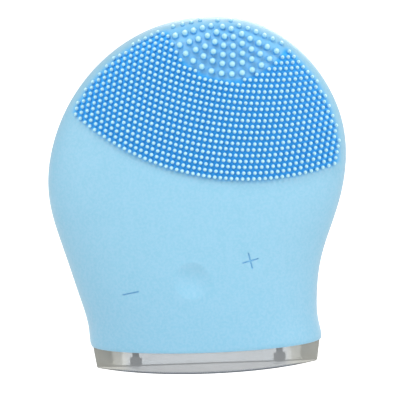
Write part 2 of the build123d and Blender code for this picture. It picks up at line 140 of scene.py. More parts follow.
# Touch points, laid out on a plane square to the mould's pull
PULL = Vector((0, math.cos(VIEW_DOWN), -math.sin(VIEW_DOWN)))
PULL_UP = Vector((0, math.sin(VIEW_DOWN), math.cos(VIEW_DOWN)))
FIELD_SLOPE = math.radians(12.7)
FIELD_FOOT = (-0.72 * MM, 50.85 * MM)
FIELD_BOW = 67.0 * MM
FINE_COLUMN_PITCH = 1.45 * MM
FINE_ROW_PITCH = 1.55 * MM
FINE_COLUMNS_ASIDE = 40
FINE_ROWS = 60
ARC_SHARE = 0.9
LATTICE_BACK = 0.2
RIM_FADE = 4.0 * MM
FINE_LENGTH = 1.7 * MM
FINE_ROOT = 0.60 * MM
FINE_TIP = 0.54 * MM
FIELD_MARGIN = 2.2 * MM
COARSE_CENTRE = (9.0 * MM, 92.1 * MM)
FINE_CLEARING = 16.8 * MM
COARSE_RINGS = (15.2, 12.6, 10.3, 7.9, 5.6, 3.4, 0.9)
COARSE_PITCH = 2.75
COARSE_PITCH_DROP = 0.09
COARSE_LENGTH = 2.3 * MM
COARSE_ROOT = 1.02 * MM
COARSE_TIP = 0.83 * MM
COARSE_MARGIN = 1.35 * MM
COARSE_LEAST = 0.62
COARSE_FULL = 4.5 * MM
COARSE_SPREAD = 0.28
FINE_SPREAD = 0.35
REAR_PITCH = 2.6 * MM
REAR_LENGTH = 1.5 * MM
REAR_ROOT = 0.8 * MM
REAR_TIP = 0.6 * MM
REAR_FIRST_ROW = 0.4
REAR_SPREAD = 0.5
# How far the painted shade on the rear points' shafts is lifted
REAR_SHADE_LIFT = 0.6
RISE_POWER = 1.9
FLARE_POWER = 2.2
DOME_SHARE = 0.97

# The bed's painted shade, a deep blue among the touch points: how it fades at the field's foot, at the rim
# and among the thick touch points
BED_SHADE_FOOT = (-0.9 * MM, 0.1 * MM)
BED_SHADE_RIM = (-0.9 * MM, 1.2 * MM)
BED_SHADE_CLEARING = (-0.6 * MM, 0.4 * MM)
BED_SHADE_REACH = 0.98
THICK_BED_SHADE_LOSS = 0.6

# Lights: place, width and power
LIGHTS = {
    "overhead": ((-0.1, -0.45, 0.65), 0.45, 3.0),
    "right": ((0.7, -0.45, 0.3), 0.5, 2.9),
    "left": ((-0.7, -0.45, 0.3), 0.5, 1.4),
    "rear": ((0.15, 0.75, 0.45), 0.6, 4.0),
}
WORLD_STRENGTH = 0.48
FLOOR_HALF = 3
FLOOR_GLOW = 0.28


# ---------------------------------------------------------------- body form
def tree_of(name):
    """The surface of one carried-over node, to find where a straight line meets it."""
    mesh = nodes[name].data
    return BVHTree.FromPolygons([v.co for v in mesh.vertices], [p.vertices for p in mesh.polygons])


class BodyForm:
    """The skin's outer surface as smooth curves: each level is an ellipse."""

    def __init__(self):
        low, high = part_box("silicone_skin")
        self.bottom = low.z
        self.height = high.z - low.z
        tree = tree_of("silicone_skin")
        left, right, depth = [], [], []
        for turn in READ_TURNS:
            z = self.bottom + self.height * math.sin(turn)
            left.append(tree.ray_cast(Vector((-READ_FROM, 0, z)), Vector((1, 0, 0)))[0].x)
            right.append(tree.ray_cast(Vector((READ_FROM, 0, z)), Vector((-1, 0, 0)))[0].x)
            middle, half = (left[-1] + right[-1]) / 2, (right[-1] - left[-1]) / 2
            aside = min(READ_ASIDE, READ_ASIDE_SHARE * half)
            y = tree.ray_cast(Vector((middle + aside, READ_FROM, z)), Vector((0, -1, 0)))[0].y
            depth.append(y / math.sqrt(1 - (aside / half) ** 2))
        fit = np.polynomial.Chebyshev.fit
        self.left = fit(READ_TURNS, left, FIT_DEGREE)
        self.right = fit(READ_TURNS, right, FIT_DEGREE)
        self.depth = fit(READ_TURNS, depth, FIT_DEGREE)

    def turn(self, z):
        share = (z - self.bottom) / self.height
        return math.asin(min(1.0, max(0.0, share)))

    def section(self, turn):
        """Middle, half width and half depth of the level at this turn."""
        left, right = self.left(turn), self.right(turn)
        return (left + right) / 2, (right - left) / 2, self.depth(turn)

    def point(self, turn, around, inset=0.0):
        """A place on the surface, or on one that lies inside it and meets it square at the hem."""
        middle, half, depth = self.section(turn)
        z = self.bottom + (self.height - inset) * math.sin(turn)
        thin = inset * math.cos(turn) ** 0.5
        return Vector((middle + max(half - thin, 0) * math.cos(around),
                       -max(depth - thin, 0) * math.sin(around), z))

    def front(self, x, z):
        """How far forward the surface is at this place, as a y value."""
        middle, half, depth = self.section(self.turn(z))
        return -depth * math.sqrt(max(0.0, 1 - ((x - middle) / half) ** 2))

    def implicit(self, p):
        """1 on the surface, less inside it and more outside it."""
        middle, half, depth = self.section(self.turn(p.z))
        return ((p.x - middle) / half) ** 2 + (p.y / depth) ** 2

    def normal(self, p):
        slopes = []
        for axis in range(3):
            step = Vector((0, 0, 0))
            step[axis] = SLOPE_STEP
            slopes.append(self.implicit(p + step) - self.implicit(p - step))
        return Vector(slopes).normalized()


form = BodyForm()


def head_rim():
    """The body's rim as the mould sees it, on the lattice plane."""
    grid = np.array([form.point(turn, a) for turn in RIM_TURNS for a in RIM_AROUND])
    flat = np.stack([grid[:, 0], grid @ np.array(PULL_UP)], 1)
    middle = np.array([form.section(RIM_MIDDLE_TURN)[0], (form.bottom + form.height) * RIM_MIDDLE_SHARE])
    reach = flat - middle
    angle = np.arctan2(reach[:, 1], reach[:, 0])
    distance = np.hypot(reach[:, 0], reach[:, 1])
    rim = []
    for way in RIM_ANGLES:
        near = np.abs((angle - way + math.pi) % (2 * math.pi) - math.pi) < RIM_NEAR_ANGLE
        rim.append(middle + distance[near].max() * np.array([math.cos(way), math.sin(way)]))
    return np.array(rim)


rim_points = head_rim()


def rim_distance(p, q):
    """How far a place on the lattice plane is inside the head's rim."""
    return float(np.sqrt(((rim_points - (p, q)) ** 2).sum(1)).min())


def new_object(name, verts, faces, smooth=True):
    """A mesh object in the scene, from places and faces."""
    mesh = bpy.data.meshes.new(name)
    mesh.from_pydata([tuple(v) for v in verts], [], faces)
    if smooth:
        mesh.shade_smooth()
    obj = bpy.data.objects.new(name, mesh)
    bpy.context.scene.collection.objects.link(obj)
    return obj


def face_outwards(obj):
    """Turns every face of a closed mesh to look out."""
    tidy = bmesh.new()
    tidy.from_mesh(obj.data)
    bmesh.ops.recalc_face_normals(tidy, faces=tidy.faces)
    tidy.to_mesh(obj.data)
    tidy.free()


def plain_mesh(obj):
    """Turns an object with live modifiers into a plain mesh."""
    graph = bpy.context.evaluated_depsgraph_get()
    old, obj.data = obj.data, bpy.data.meshes.new_from_object(obj.evaluated_get(graph))
    obj.modifiers.clear()
    bpy.data.meshes.remove(old)
    return obj


def cut(obj, cutter):
    """Takes the cutter's shape out of the object."""
    modifier = obj.modifiers.new("cut", "BOOLEAN")
    modifier.operation = "DIFFERENCE"
    modifier.solver = "EXACT"
    modifier.object = cutter
    plain_mesh(obj)
    bpy.data.objects.remove(cutter)


def prism(name, corners, front, back):
    """A straight-sided solid along Y over an outline of (x, z) corners."""
    count = len(corners)
    verts = [(x, front, z) for x, z in corners] + [(x, back, z) for x, z in corners]
    faces = [list(range(count)), list(range(2 * count - 1, count - 1, -1))]
    for i in range(count):
        j = (i + 1) % count
        faces.append([i, i + count, j + count, j])
    return new_object(name, verts, faces, smooth=False)


def circle(centre, radius, steps=PAD_STEPS):
    """Evenly spaced places on a circle."""
    angles = [2 * math.pi * i / steps for i in range(steps)]
    return [(centre[0] + radius * math.cos(a), centre[1] + radius * math.sin(a)) for a in angles]


# ---------------------------------------------------------------- skin
def button_centre(name):
    """The middle of a button seen from the front, as x and z."""
    low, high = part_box(f"{name}_button_pad")
    return (low.x + high.x) / 2, (low.z + high.z) / 2


def rows_of_skin():
    """Rings of the skin from the outer crown down, round the hem and up the inside."""
    ring = [2 * math.pi * i / SKIN_COLUMNS for i in range(SKIN_COLUMNS)]
    rows = []
    for step in range(1, SKIN_ROWS + 1):
        turn = math.pi / 2 * (1 - step / SKIN_ROWS)
        rows.append([form.point(turn, a) for a in ring])
    middle, half, depth = form.section(0)
    bottom = form.bottom

    def level(inset, z):
        return [Vector((middle + (half - inset) * math.cos(a), -(depth - inset) * math.sin(a), z))
                for a in ring]

    rows[-1] = level(0, bottom + HEM_ROUND)
    rows.append(level(HEM_ROUND * ROUND_MIDDLE, bottom + HEM_ROUND * ROUND_MIDDLE))
    rows.append(level(HEM_ROUND, bottom))
    rows.append(level(HEM_WIDTH, bottom))
    rows.append(level(HEM_WIDTH, bottom + HEM_THICKNESS))
    rows.append(level(SKIN_THICKNESS, bottom + HEM_THICKNESS))
    for step in range(1, INNER_ROWS):
        turn = math.pi / 2 * (INNER_FIRST + (1 - INNER_FIRST) * step / INNER_ROWS)
        rows.append([form.point(turn, a, SKIN_THICKNESS) for a in ring])
    return rows


def ring_faces(rows, columns):
    """Faces between closed rings of places that follow one another."""
    faces = []
    for r in range(rows - 1):
        for c in range(columns):
            d = (c + 1) % columns
            above, below = r * columns, (r + 1) * columns
            faces.append((above + c, above + d, below + d, below + c))
    return faces


def make_skin():
    rows = rows_of_skin()
    verts = [v for row in rows for v in row]
    faces = ring_faces(len(rows), SKIN_COLUMNS)
    top = len(verts)
    crown = Vector((form.section(math.pi / 2)[0], 0, form.bottom + form.height))
    verts += [crown, crown - Vector((0, 0, SKIN_THICKNESS))]
    last = (len(rows) - 1) * SKIN_COLUMNS
    for c in range(SKIN_COLUMNS):
        d = (c + 1) % SKIN_COLUMNS
        faces.append((top, d, c))
        faces.append((top + 1, last + c, last + d))
    skin = new_object("silicone_skin_soft", verts, faces)
    face_outwards(skin)
    for name in BUTTONS:
        cut(skin, prism("window", circle(button_centre(name), WINDOW_RADIUS), -CUTTER_REACH, 0))
    low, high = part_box("charge_jack")
    port = ((low.x + high.x) / 2, (low.z + high.z) / 2)
    cut(skin, prism("port", circle(port, PORT_RADIUS), 0, CUTTER_REACH))
    return skin


def soft_normals(obj):
    """Faces on the outer surface take the form's own normals, so that pieces meet without a line."""
    mesh = obj.data
    normals = [(0.0, 0.0, 0.0)] * len(mesh.loops)
    for polygon in mesh.polygons:
        centre = polygon.center
        if not form.bottom + HEM_CLEARANCE <= centre.z <= form.bottom + form.height * CROWN_SHARE:
            continue
        if abs(form.implicit(centre) - 1) > SURFACE_BAND:
            continue
        if polygon.normal.dot(form.normal(centre)) < SURFACE_FACING:
            continue
        for index in polygon.loop_indices:
            normals[index] = tuple(form.normal(mesh.vertices[mesh.loops[index].vertex_index].co))
    mesh.set_sharp_from_angle(angle=SHARP_ANGLE)
    mesh.normals_split_custom_set(normals)


def fine_arc(across):
    """How far the field's bowed foot rises at this distance from its middle."""
    return FIELD_BOW - math.sqrt(FIELD_BOW**2 - across**2)


def field_place(across, along):
    """A place in the field: across its slope and along its columns, on the lattice plane."""
    p = FIELD_FOOT[0] + across * math.cos(FIELD_SLOPE) + along * math.sin(FIELD_SLOPE)
    q = FIELD_FOOT[1] - across * math.sin(FIELD_SLOPE) + along * math.cos(FIELD_SLOPE)
    return p, q


def coarse_distance(p, q):
    return math.hypot(p - COARSE_CENTRE[0], q - COARSE_CENTRE[1])


def step_between(low, high, value):
    """0 below low, 1 above high, and smooth between."""
    share = min(1.0, max(0.0, (value - low) / (high - low)))
    return share * share * (3 - 2 * share)


def bed_shade_strength(point):
    """How strong the bed's painted shade is: 1 where fine touch points stand, less among the thick ones, 0 on
    bare skin.
    """
    if point.y > 0:
        return 0.0
    p, q = point.x, point.dot(PULL_UP)
    dp, dq = p - FIELD_FOOT[0], q - FIELD_FOOT[1]
    across = dp * math.cos(FIELD_SLOPE) - dq * math.sin(FIELD_SLOPE)
    along = dp * math.sin(FIELD_SLOPE) + dq * math.cos(FIELD_SLOPE)
    if abs(across) > FIELD_BOW * BED_SHADE_REACH:
        return 0.0
    inside = step_between(*BED_SHADE_FOOT, along - fine_arc(across))
    inside *= step_between(*BED_SHADE_RIM, rim_distance(p, q) - FIELD_MARGIN)
    thick = 1 - step_between(*BED_SHADE_CLEARING, coarse_distance(p, q) - FINE_CLEARING)
    return inside * (1 - THICK_BED_SHADE_LOSS * thick)


def paint_bed_shade(obj):
    """Marks where the skin takes the bed's painted shade, a deep blue among the touch points."""
    attribute = obj.data.attributes.new("bed_shade", "FLOAT", "POINT")
    values = [bed_shade_strength(v.co) for v in obj.data.vertices]
    attribute.data.foreach_set("value", values)


skin = make_skin()
soft_normals(skin)
paint_bed_shade(skin)
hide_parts("silicone_skin")
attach(skin, "handle")


# ---------------------------------------------------------------- buttons
def relief(name, distance):
    """How deep the pad dips at this distance from its centre."""
    if name != "power" or distance >= DIMPLE_RADIUS:
        return 0.0
    return DIMPLE_DEPTH * (1 - (distance / DIMPLE_RADIUS) ** 2) ** 1.5


def pad_point(name, centre, radius, angle, back=0.0):
    x = centre[0] + radius * math.cos(angle)
    z = centre[1] + radius * math.sin(angle)
    return Vector((x, form.front(x, z) + relief(name, radius) + back, z))


def pad_piece(name, label, radii, first, steps):
    """A closed patch of the button's skin between two radii and two angles."""
    centre = button_centre(name)
    whole = steps == PAD_STEPS
    angles = [2 * math.pi * (first + i) / PAD_STEPS for i in range(steps if whole else steps + 1)]
    verts, faces = [], []
    for back in (0.0, PAD_THICKNESS):
        for radius in radii:
            verts += [pad_point(name, centre, radius, a, back) for a in angles]
    count, rings = len(angles), len(radii)

    def at(side, ring, index):
        return side * rings * count + ring * count + index % count

    columns = count if whole else count - 1
    for r in range(rings - 1):
        for c in range(columns):
            faces.append((at(0, r, c), at(0, r, c + 1), at(0, r + 1, c + 1), at(0, r + 1, c)))
            faces.append((at(1, r, c), at(1, r + 1, c), at(1, r + 1, c + 1), at(1, r, c + 1)))
    rim = rings - 1
    for c in range(columns):
        faces.append((at(0, rim, c), at(0, rim, c + 1), at(1, rim, c + 1), at(1, rim, c)))
        if not whole:
            faces.append((at(0, 0, c), at(1, 0, c), at(1, 0, c + 1), at(0, 0, c + 1)))
    if whole:
        faces.append([at(0, 0, c) for c in range(count)][::-1])
        faces.append([at(1, 0, c) for c in range(count)])
    else:
        for c in (0, count - 1):
            for r in range(rings - 1):
                faces.append((at(0, r, c), at(0, r + 1, c), at(1, r + 1, c), at(1, r, c)))
    piece = new_object(label, verts, faces)
    face_outwards(piece)
    return piece


def pad_normals(name, piece):
    """Normals of the dipped surface on the faces that show, so that the patches join smoothly."""
    mesh = piece.data
    centre = button_centre(name)

    def surface(x, z):
        return form.front(x, z) + relief(name, math.hypot(x - centre[0], z - centre[1]))

    normals = [(0.0, 0.0, 0.0)] * len(mesh.loops)
    for polygon in mesh.polygons:
        c = polygon.center
        if abs(surface(c.x, c.z) - c.y) > PAD_BAND or polygon.normal.y > PAD_FACING:
            continue
        for index in polygon.loop_indices:
            v = mesh.vertices[mesh.loops[index].vertex_index].co
            rise_x = surface(v.x + SLOPE_STEP, v.z) - surface(v.x - SLOPE_STEP, v.z)
            rise_z = surface(v.x, v.z + SLOPE_STEP) - surface(v.x, v.z - SLOPE_STEP)
            slope_x, slope_z = rise_x / (2 * SLOPE_STEP), rise_z / (2 * SLOPE_STEP)
            normals[index] = tuple(Vector((slope_x, -1, slope_z)).normalized())
    mesh.set_sharp_from_angle(angle=SHARP_ANGLE)
    mesh.normals_split_custom_set(normals)


def bar(centre, length, width, turn):
    """Corners of a bar with round ends."""
    corners = []
    for end in (1, -1):
        for i in range(MARK_END_STEPS + 1):
            a = math.pi * (i / MARK_END_STEPS - 0.5)
            along = end * (length / 2 - width / 2) + end * width / 2 * math.cos(a)
            side = end * width / 2 * math.sin(a)
            corners.append((centre[0] + along * math.cos(turn) - side * math.sin(turn),
                            centre[1] + along * math.sin(turn) + side * math.cos(turn)))
    return corners


def engrave(piece, name, centre):
    """Sinks the minus or plus mark into the button's core, to an even depth."""
    turns = {"minus": [0], "plus": [0, math.pi / 2], "power": []}[name]
    for turn in turns:
        cutter = prism("mark", bar(centre, MARK_LENGTH, MARK_WIDTH, BUTTON_SLOPE + turn), -MARK_REACH, 0)
        for vertex in cutter.data.vertices:
            if vertex.co.y == 0:
                vertex.co.y = form.front(vertex.co.x, vertex.co.z) + MARK_DEPTH
        cut(piece, cutter)


def paint_mark_shade(core):
    """The floor of an engraved mark gets painted shade, a deeper blue."""
    attribute = core.data.attributes.new("bed_shade", "FLOAT", "POINT")
    depths = [v.co.y - form.front(v.co.x, v.co.z) for v in core.data.vertices]
    mark_shades = [MARK_SHADE * (abs(depth - MARK_DEPTH) < MARK_BAND) for depth in depths]
    attribute.data.foreach_set("value", mark_shades)


def make_button(name, body):
    """A rigid core that rides on the button, and a web of skin that stretches between it and the body."""
    centre = button_centre(name)
    core_radii = np.linspace(CORE_FIRST_RING, CORE_RADIUS, CORE_RINGS)
    core = pad_piece(name, f"{name}_button_core", core_radii, 0, PAD_STEPS)
    engrave(core, name, centre)
    paint_mark_shade(core)
    pad_normals(name, core)
    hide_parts(f"{name}_button_pad")
    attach(core, body)
    pieces = [core]
    steps = PAD_STEPS // PAD_SECTORS
    radii = np.linspace(CORE_RADIUS, WINDOW_RADIUS, PAD_RINGS)
    for sector in range(PAD_SECTORS):
        piece = pad_piece(name, f"{name}_button_web_{sector + 1}", radii, sector * steps, steps)
        pad_normals(name, piece)
        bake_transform(piece)
        pieces.append(piece)
    return pieces


button_pieces = [piece for name, body in BUTTONS.items() for piece in make_button(name, body)]


# ---------------------------------------------------------------- node trees
class Value:
    """A socket's value, on which Python's operators add Math nodes."""

    def __init__(self, tree, socket):
        self.tree, self.socket = tree, socket

    def math(self, operation, *items):
        node = self.tree.nodes.new("ShaderNodeMath")
        node.operation = operation
        for slot, item in zip(node.inputs, items):
            feed(self.tree, slot, item)
        return Value(self.tree, node.outputs[0])

    def __add__(self, other):
        return self.math("ADD", self, other)

    def __sub__(self, other):
        return self.math("SUBTRACT", self, other)

    def __rsub__(self, other):
        return self.math("SUBTRACT", other, self)

    def __mul__(self, other):
        return self.math("MULTIPLY", self, other)

    def __truediv__(self, other):
        return self.math("DIVIDE", self, other)

    def __pow__(self, other):
        return self.math("POWER", self, other)

    __radd__ = __add__
    __rmul__ = __mul__

    def clamped(self):
        return self.math("MINIMUM", self.math("MAXIMUM", self, 0.0), 1.0)


def feed(tree, slot, item):
    """Gives a socket a link, where the item is a value of the tree, or else a number."""
    if isinstance(item, Value):
        tree.links.new(item.socket, slot)
    else:
        slot.default_value = item


def add_node(tree, kind, settings, sockets, output=0):
    """Adds a node, makes its settings, then gives its sockets their values or links."""
    node = tree.nodes.new(kind)
    for name, value in settings.items():
        setattr(node, name, value)
    for name, item in sockets.items():
        feed(tree, node.inputs[name], item)
    return Value(tree, node.outputs[output])


# ---------------------------------------------------------------- touch points
def touch_point_tree():
    """Stands a tapered, round-tipped point on every vertex of a mesh."""
    tree = bpy.data.node_groups.new("touch_points", "GeometryNodeTree")
    face = tree.interface
    face.new_socket("Roots", in_out="INPUT", socket_type="NodeSocketGeometry")
    for name in ("Length", "Sink", "Root radius", "Tip radius"):
        face.new_socket(name, in_out="INPUT", socket_type="NodeSocketFloat")
    for name in ("Sides", "Rings"):
        face.new_socket(name, in_out="INPUT", socket_type="NodeSocketInt")
    face.new_socket("Finish", in_out="INPUT", socket_type="NodeSocketMaterial")
    face.new_socket("Points", in_out="OUTPUT", socket_type="NodeSocketGeometry")
    group = tree.nodes.new("NodeGroupInput")
    given = {s.name: Value(tree, s) for s in group.outputs if s.name}

    def node(kind, settings=None, output=0, **sockets):
        sockets = {name.replace("_", " "): item for name, item in sockets.items()}
        return add_node(tree, kind, settings or {}, sockets, output)

    def attribute(name, kind):
        return node("GeometryNodeInputNamedAttribute", {"data_type": kind}, Name=name)

    share = node("GeometryNodeSplineParameter")
    rise = 1.0 - (1.0 - share) ** RISE_POWER
    reach = given["Length"] + given["Sink"]
    line = node("GeometryNodeCurvePrimitiveLine", End=(0, 0, 1))
    line = node("GeometryNodeResampleCurve", Curve=line, Count=given["Rings"])
    line = node("GeometryNodeStoreNamedAttribute", Geometry=line, Name="rise", Value=rise)
    place = node("ShaderNodeCombineXYZ", Z=rise * reach - given["Sink"])
    line = node("GeometryNodeSetPosition", Geometry=line, Position=place)
    cap = (rise * reach - (reach - given["Tip radius"])) / given["Tip radius"]
    dome = (1.0 - (cap.clamped() * DOME_SHARE) ** 2.0) ** 0.5
    flare = given["Tip radius"] + (given["Root radius"] - given["Tip radius"]) * (1.0 - rise) ** FLARE_POWER
    ring = node("GeometryNodeCurvePrimitiveCircle", Resolution=given["Sides"], Radius=1.0)
    solid = node("GeometryNodeCurveToMesh", Curve=line, Profile_Curve=ring, Scale=flare * dome,
                 Fill_Caps=True)
    turn = node("FunctionNodeAlignRotationToVector", {"axis": "Z"},
                Vector=attribute("lean", "FLOAT_VECTOR"))
    many = node("GeometryNodeInstanceOnPoints", Points=given["Roots"], Instance=solid, Rotation=turn,
                Scale=attribute("size", "FLOAT"))
    many = node("GeometryNodeRealizeInstances", Geometry=many)
    many = node("GeometryNodeSetShadeSmooth", Geometry=many)
    many = node("GeometryNodeSetMaterial", Geometry=many, Material=given["Finish"])
    out = tree.nodes.new("NodeGroupOutput")
    feed(tree, out.inputs["Points"], many)
    return tree


def stand_points(label, places, sizes, finish):
    """A mesh of touch points; a place is its root, its lean, its size and how far the painted shade on its
    shaft is lifted towards pale.
    """
    mesh = bpy.data.meshes.new(label)
    mesh.from_pydata([tuple(place[0]) for place in places], [], [])
    lean = mesh.attributes.new("lean", "FLOAT_VECTOR", "POINT")
    lean.data.foreach_set("vector", [c for place in places for c in place[1]])
    for index, name in ((2, "size"), (3, "pale")):
        attribute = mesh.attributes.new(name, "FLOAT", "POINT")
        attribute.data.foreach_set("value", [place[index] for place in places])
    piece = bpy.data.objects.new(label, mesh)
    bpy.context.scene.collection.objects.link(piece)
    modifier = piece.modifiers.new("touch_points", "NODES")
    modifier.node_group = point_tree
    sockets = point_tree.interface.items_tree
    slots = {item.name: item.identifier for item in sockets if item.in_out == "INPUT"}
    for name, value in {**sizes, "Finish": finish}.items():
        modifier[slots[name]] = value
    return plain_mesh(piece)


skin_tree = tree_of("silicone_skin")


def root_on_skin(p, q):
    """Where a place on the lattice plane meets the skin, or None."""
    start = Vector((p, 0, 0)) + PULL_UP * q - PULL * LATTICE_BACK
    return skin_tree.ray_cast(start, PULL)[0]


def point_place(root, pull, spread, size, pale):
    """A touch point leans from the way the mould opens towards the skin's own normal."""
    lean = (form.normal(root) * spread + pull * (1 - spread)).normalized()
    return root, lean, size, pale


def rim_shade_lift(inside):
    """How far the painted shade on a touch point's shaft is lifted towards pale, by how far it stands inside
    the rim.
    """
    return 1 - step_between(FIELD_MARGIN, FIELD_MARGIN + RIM_FADE, inside)


def fine_places():
    """Straight columns over the head, whose feet follow the bowed arc."""
    places = []
    for column in range(-FINE_COLUMNS_ASIDE, FINE_COLUMNS_ASIDE + 1):
        across = column * FINE_COLUMN_PITCH
        if abs(across) > FIELD_BOW * ARC_SHARE:
            continue
        for row in range(FINE_ROWS):
            p, q = field_place(across, fine_arc(across) + row * FINE_ROW_PITCH)
            if coarse_distance(p, q) < FINE_CLEARING:
                continue
            root = root_on_skin(p, q)
            inside = rim_distance(p, q)
            if root is None or inside < FIELD_MARGIN:
                continue
            places.append(point_place(root, -PULL, FINE_SPREAD, 1.0, rim_shade_lift(inside)))
    return places


def coarse_places():
    """Rings round a centre at the crown; those near the rim are smaller."""
    places = []
    for index, ring in enumerate(COARSE_RINGS):
        radius = ring * MM
        pitch = COARSE_PITCH - COARSE_PITCH_DROP * index
        count = max(4, round(2 * math.pi * ring / pitch))
        for step in range(count):
            angle = 2 * math.pi * (step + 0.5 * (index % 2)) / count + BUTTON_SLOPE
            p = COARSE_CENTRE[0] + radius * math.cos(angle)
            q = COARSE_CENTRE[1] + radius * math.sin(angle)
            root = root_on_skin(p, q)
            inside = rim_distance(p, q)
            if root is None or inside < COARSE_MARGIN:
                continue
            size = COARSE_LEAST + (1 - COARSE_LEAST) * step_between(COARSE_MARGIN, COARSE_FULL, inside)
            places.append(point_place(root, -PULL, COARSE_SPREAD, size, rim_shade_lift(inside)))
    return places


def rear_places():
    """Medium points in a staggered field on the back of the head, inside the moulded field."""
    tree = tree_of("rear_bristle_field")
    low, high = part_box("rear_bristle_field")
    places = []
    row_pitch = REAR_PITCH * math.sqrt(3) / 2
    rows = int((high.z - low.z) / row_pitch) + 1
    columns = int((high.x - low.x) / REAR_PITCH) + 2
    for row in range(rows):
        for column in range(columns):
            x = low.x + (column + 0.5 * (row % 2)) * REAR_PITCH
            z = low.z + (row + REAR_FIRST_ROW) * row_pitch
            around = [(x, z), *circle((x, z), REAR_ROOT, 4)]
            hits = [tree.ray_cast(Vector((a, READ_FROM, b)), Vector((0, -1, 0)))[0] for a, b in around]
            if any(hit is None for hit in hits):
                continue
            root = Vector((x, -form.front(x, z), z))
            places.append(point_place(root, Vector((0, 1, 0)), REAR_SPREAD, 1.0, REAR_SHADE_LIFT))
    return places


def point_sizes(length, sink, root, tip, sides, rings):
    return {"Length": length, "Sink": sink, "Root radius": root, "Tip radius": tip,
            "Sides": sides, "Rings": rings}


FINE_SIZES = point_sizes(FINE_LENGTH, 0.25 * MM, FINE_ROOT, FINE_TIP, 8, 7)
COARSE_SIZES = point_sizes(COARSE_LENGTH, 0.35 * MM, COARSE_ROOT, COARSE_TIP, 14, 11)
REAR_SIZES = point_sizes(REAR_LENGTH, 0.35 * MM, REAR_ROOT, REAR_TIP, 12, 9)


# ---------------------------------------------------------------- finishes
def shade(red, green, blue):
    """A colour given by its eye-even values from 0 to 255."""
    def line(value):
        value /= 255
        return value / 12.92 if value <= 0.04045 else ((value + 0.055) / 1.055) ** 2.4
    return line(red), line(green), line(blue), 1.0


class Finish:
    """A material: its shader, its place on the piece, and short ways to vary it."""

    def __init__(self, name, **constants):
        self.material = bpy.data.materials.new(name)
        self.material.use_nodes = True
        self.tree = self.material.node_tree
        self.shader = self.tree.nodes["Principled BSDF"]
        for socket, value in constants.items():
            self.shader.inputs[socket.replace("_", " ")].default_value = value
        self.place = self.node("ShaderNodeTexCoord", {}, {}, 3)

    def node(self, kind, settings, sockets, output=0):
        return add_node(self.tree, kind, settings, sockets, output)

    def cloud(self, grain, detail=3.0, place=None):
        """Soft noise from 0 to 1 whose blots are about grain metres across."""
        return self.node("ShaderNodeTexNoise", {}, {"Vector": place or self.place, "Scale": 1 / grain,
                                                    "Detail": detail})

    def stretched(self, x, y, z):
        return self.node("ShaderNodeMapping", {}, {"Vector": self.place, "Scale": (x, y, z)})

    def axis(self, letter):
        return self.node("ShaderNodeSeparateXYZ", {}, {"Vector": self.place}, "XYZ".index(letter))

    def attribute(self, name):
        return self.node("ShaderNodeAttribute", {"attribute_name": name}, {}, 2)

    def mix(self, share, first, second):
        return self.node("ShaderNodeMix", {"data_type": "RGBA"}, {0: share, 6: first, 7: second}, 2)

    def between(self, value, low, high):
        """0 below low, 1 above high, and smooth between."""
        return self.node("ShaderNodeMapRange", {"interpolation_type": "SMOOTHSTEP"},
                         {"Value": value, "From Min": low, "From Max": high})

    def colour(self, value):
        feed(self.tree, self.shader.inputs["Base Color"], value)

    def rough(self, value):
        feed(self.tree, self.shader.inputs["Roughness"], value)

    def bump(self, height, strength, depth):
        normal = self.node("ShaderNodeBump", {}, {"Height": height, "Strength": strength, "Distance": depth})
        feed(self.tree, self.shader.inputs["Normal"], normal)


def moulded(name, dark, light, grain, rough, depth, **constants):
    """Moulded plastic or rubber: two near colours, a fine satin texture and an uneven gloss."""
    finish = Finish(name, **constants)
    finish.colour(finish.mix(finish.cloud(grain * 12), dark, light))
    finish.rough(rough + 0.12 * (finish.cloud(grain * 5) - 0.5))
    finish.bump(finish.cloud(grain, 4.0), 0.35, depth)
    return finish


def silicone():
    """The soft skin: a faint mottle, a satin face, and painted shade in deep blue on the bed among the touch
    points.
    """
    finish = Finish("soft_blue_silicone", Sheen_Weight=0.5, Sheen_Roughness=0.45)
    mottle = finish.cloud(3.2 * MM, 5.0)
    bare = finish.mix(mottle, shade(128, 187, 212), shade(140, 194, 219))
    # A little darker towards the bottom.
    low = 1.0 - finish.between(finish.axis("Z"), 0.010, 0.036)
    bare = finish.mix(low * 0.5, bare, shade(129, 188, 216))
    dust = finish.between(finish.cloud(0.7 * MM, 6.0), 0.35, 0.65)
    bare = finish.mix(dust * 0.5, bare, shade(154, 197, 222))
    # Painted shade: deep blue where the bed lies among the touch points, and on the floors of the marks.
    bed_shade = finish.attribute("bed_shade")
    bed_shade_colour = finish.mix(mottle, shade(34, 158, 230), shade(50, 174, 239))
    finish.colour(finish.mix(bed_shade, bare, bed_shade_colour))
    finish.rough(0.46 + 0.10 * (finish.cloud(1.4 * MM) - 0.5) + 0.15 * bed_shade)
    finish.bump(finish.cloud(0.22 * MM, 3.0), 0.25, 0.03 * MM)
    return finish.material


def bristle_silicone(name, lit_tip_dark, lit_tip_light):
    """Touch points: painted shade in deep blue at the root, and a pale painted highlight at the tip, with a
    fine frosted bump all over.
    """
    finish = Finish(name, Sheen_Weight=0.15, Sheen_Roughness=0.4)
    rise = finish.attribute("rise")
    pale = finish.attribute("pale")
    mottle = finish.cloud(2.6 * MM)
    shaded_shaft = finish.mix(mottle, shade(54, 170, 229), shade(78, 186, 236))
    # Near the rim, and on the back, the shaft's painted shade is lifted to a paler blue.
    shaded_shaft = finish.mix(pale * 0.75, shaded_shaft, shade(120, 192, 238))
    tip = finish.mix(mottle, lit_tip_dark, lit_tip_light)
    # Painted shade low on the point gives way to a painted highlight on its tip, by how high up the point the
    # place is.
    finish.colour(finish.mix(finish.between(rise, 0.45, 0.8), shaded_shaft, tip))
    finish.rough(0.42 + 0.1 * (finish.cloud(0.8 * MM) - 0.5))
    finish.bump(finish.cloud(0.15 * MM), 0.2, 0.02 * MM)
    return finish.material


